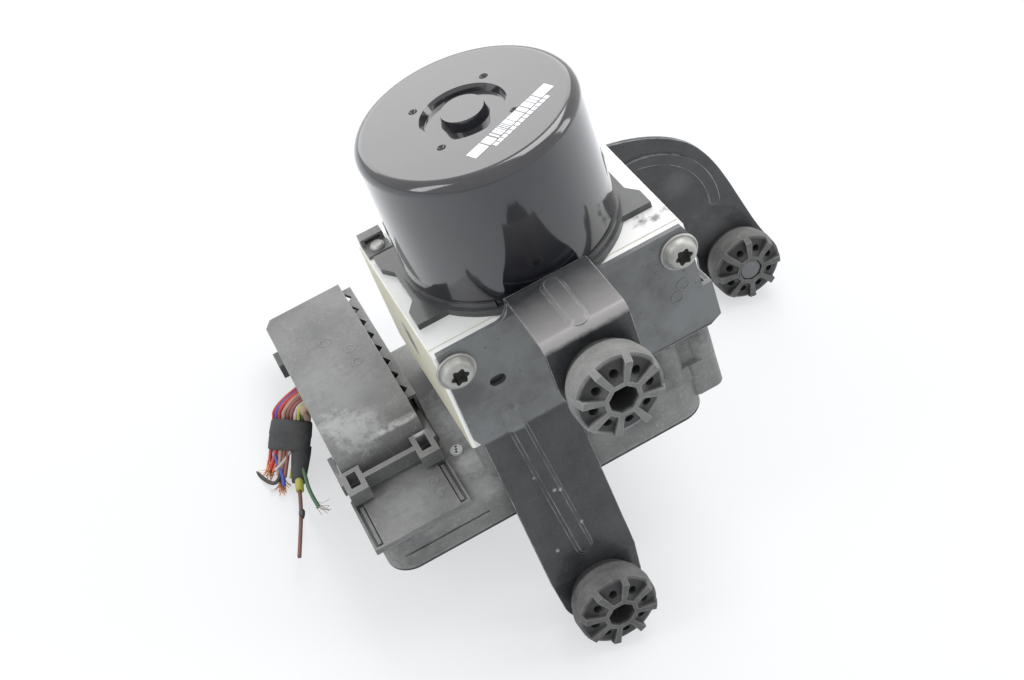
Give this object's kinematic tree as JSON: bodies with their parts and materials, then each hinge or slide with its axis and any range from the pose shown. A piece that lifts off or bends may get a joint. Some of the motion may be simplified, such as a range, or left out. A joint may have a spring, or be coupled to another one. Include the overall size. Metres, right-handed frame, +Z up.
{
  "type": "abs brake module",
  "caption": "Brake pressure control module: pump motor on a valve block, control unit with plugged connector, folded sheet bracket with rubber isolators, cut harness stub.",
  "frame": {"origin": "motor axis where it crosses the top face of the valve block", "axes": "+Z up along the motor axis, +X to the right along the front face, +Y to the back"},
  "size_m": [0.2473, 0.1833, 0.1967],
  "materials": {
    "black_lacquer": "gloss black lacquer",
    "grey_cast": "satin dark grey",
    "zinc_steel": "dull zinc",
    "ferrite": "matt ferrite",
    "ground_steel": "ground",
    "lamination_steel": "laminated",
    "copper": "enamelled copper",
    "carbon": "pressed carbon",
    "inner_plastic": "moulded",
    "pale_aluminium": "machined, dull",
    "black_plastic": "worn moulded plastic",
    "grey_plastic": "dusty moulded plastic",
    "white_membrane": "matt",
    "black_sheet": "satin black coating",
    "rubber": "moulded",
    "cloth_tape": "woven",
    "red_insulation": "smooth",
    "blue_insulation": "smooth",
    "brown_insulation": "smooth",
    "green_insulation": "smooth",
    "black_insulation": "smooth"
  },
  "bodies": {
    "unit": {"accumulator_cap_1": "pale_aluminium", "accumulator_cap_2": "pale_aluminium", "bracket": "black_sheet", "bracket_bolts": "zinc_steel", "brush_plate": "inner_plastic", "brushes": "carbon", "circuit_board": "inner_plastic", "earth_screw": "zinc_steel", "earth_tab": "black_plastic", "ecu_cover": "grey_plastic", "ecu_housing": "grey_plastic", "ecu_screws": "zinc_steel", "front_bearing": "ground_steel", "header_pins": "zinc_steel", "isolator_lower": "rubber", "isolator_middle": "rubber", "isolator_pin": "ground_steel", "isolator_right": "rubber", "magnet_1": "ferrite", "magnet_2": "ferrite", "magnet_3": "ferrite", "magnet_4": "ferrite", "motor_can": "black_lacquer", "motor_flange": "grey_cast", "motor_screws": "zinc_steel", "plug_cover": "black_plastic", "plug_housing": "black_plastic", "pump_plug_left": "zinc_steel", "pump_plug_right": "zinc_steel", "rear_bearing": "ground_steel", "tape_wrap": "cloth_tape", "valve_1": "ground_steel", "valve_2": "ground_steel", "valve_3": "ground_steel", "valve_4": "ground_steel", "valve_5": "ground_steel", "valve_6": "ground_steel", "valve_7": "ground_steel", "valve_8": "ground_steel", "valve_block": "pale_aluminium", "valve_coils": "inner_plastic", "vent_cap": "white_membrane", "wire_black": "black_insulation", "wire_blue": "blue_insulation", "wire_brown": "brown_insulation", "wire_green": "green_insulation", "wire_red": "red_insulation"},
    "armature": {"armature_shaft": "ground_steel", "armature_core": "lamination_steel", "armature_windings": "copper", "commutator": "copper", "eccentric_bearing": "ground_steel"},
    "pump_piston_left": {"pump_piston_left": "ground_steel"},
    "pump_piston_right": {"pump_piston_right": "ground_steel"},
    "accumulator_piston_1": {"accumulator_piston_1": "pale_aluminium"},
    "accumulator_piston_2": {"accumulator_piston_2": "pale_aluminium"},
    "plug_lever": {"plug_lever": "black_plastic"}
  },
  "joints": [
    {"name": "armature_spin", "type": "hinge", "parent": "unit", "child": "armature", "pos_m": [0, 0, 0], "axis": [0, 0, 1], "continuous": true},
    {"name": "left_piston_stroke", "type": "slide", "parent": "unit", "child": "pump_piston_left", "axis": [1, 0, 0], "range_m": [0, 0.0015]},
    {"name": "right_piston_stroke", "type": "slide", "parent": "unit", "child": "pump_piston_right", "axis": [-1, 0, 0], "range_m": [0, 0.0015]},
    {"name": "accumulator_1_travel", "type": "slide", "parent": "unit", "child": "accumulator_piston_1", "axis": [0, 0, -1], "range_m": [0, 0.006]},
    {"name": "accumulator_2_travel", "type": "slide", "parent": "unit", "child": "accumulator_piston_2", "axis": [0, 0, -1], "range_m": [0, 0.006]},
    {"name": "lever_swing", "type": "hinge", "parent": "unit", "child": "plug_lever", "pos_m": [-0.0757, 0.005, -0.06], "axis": [-1, 0, 0], "range_deg": [0, 60]}
  ]
}
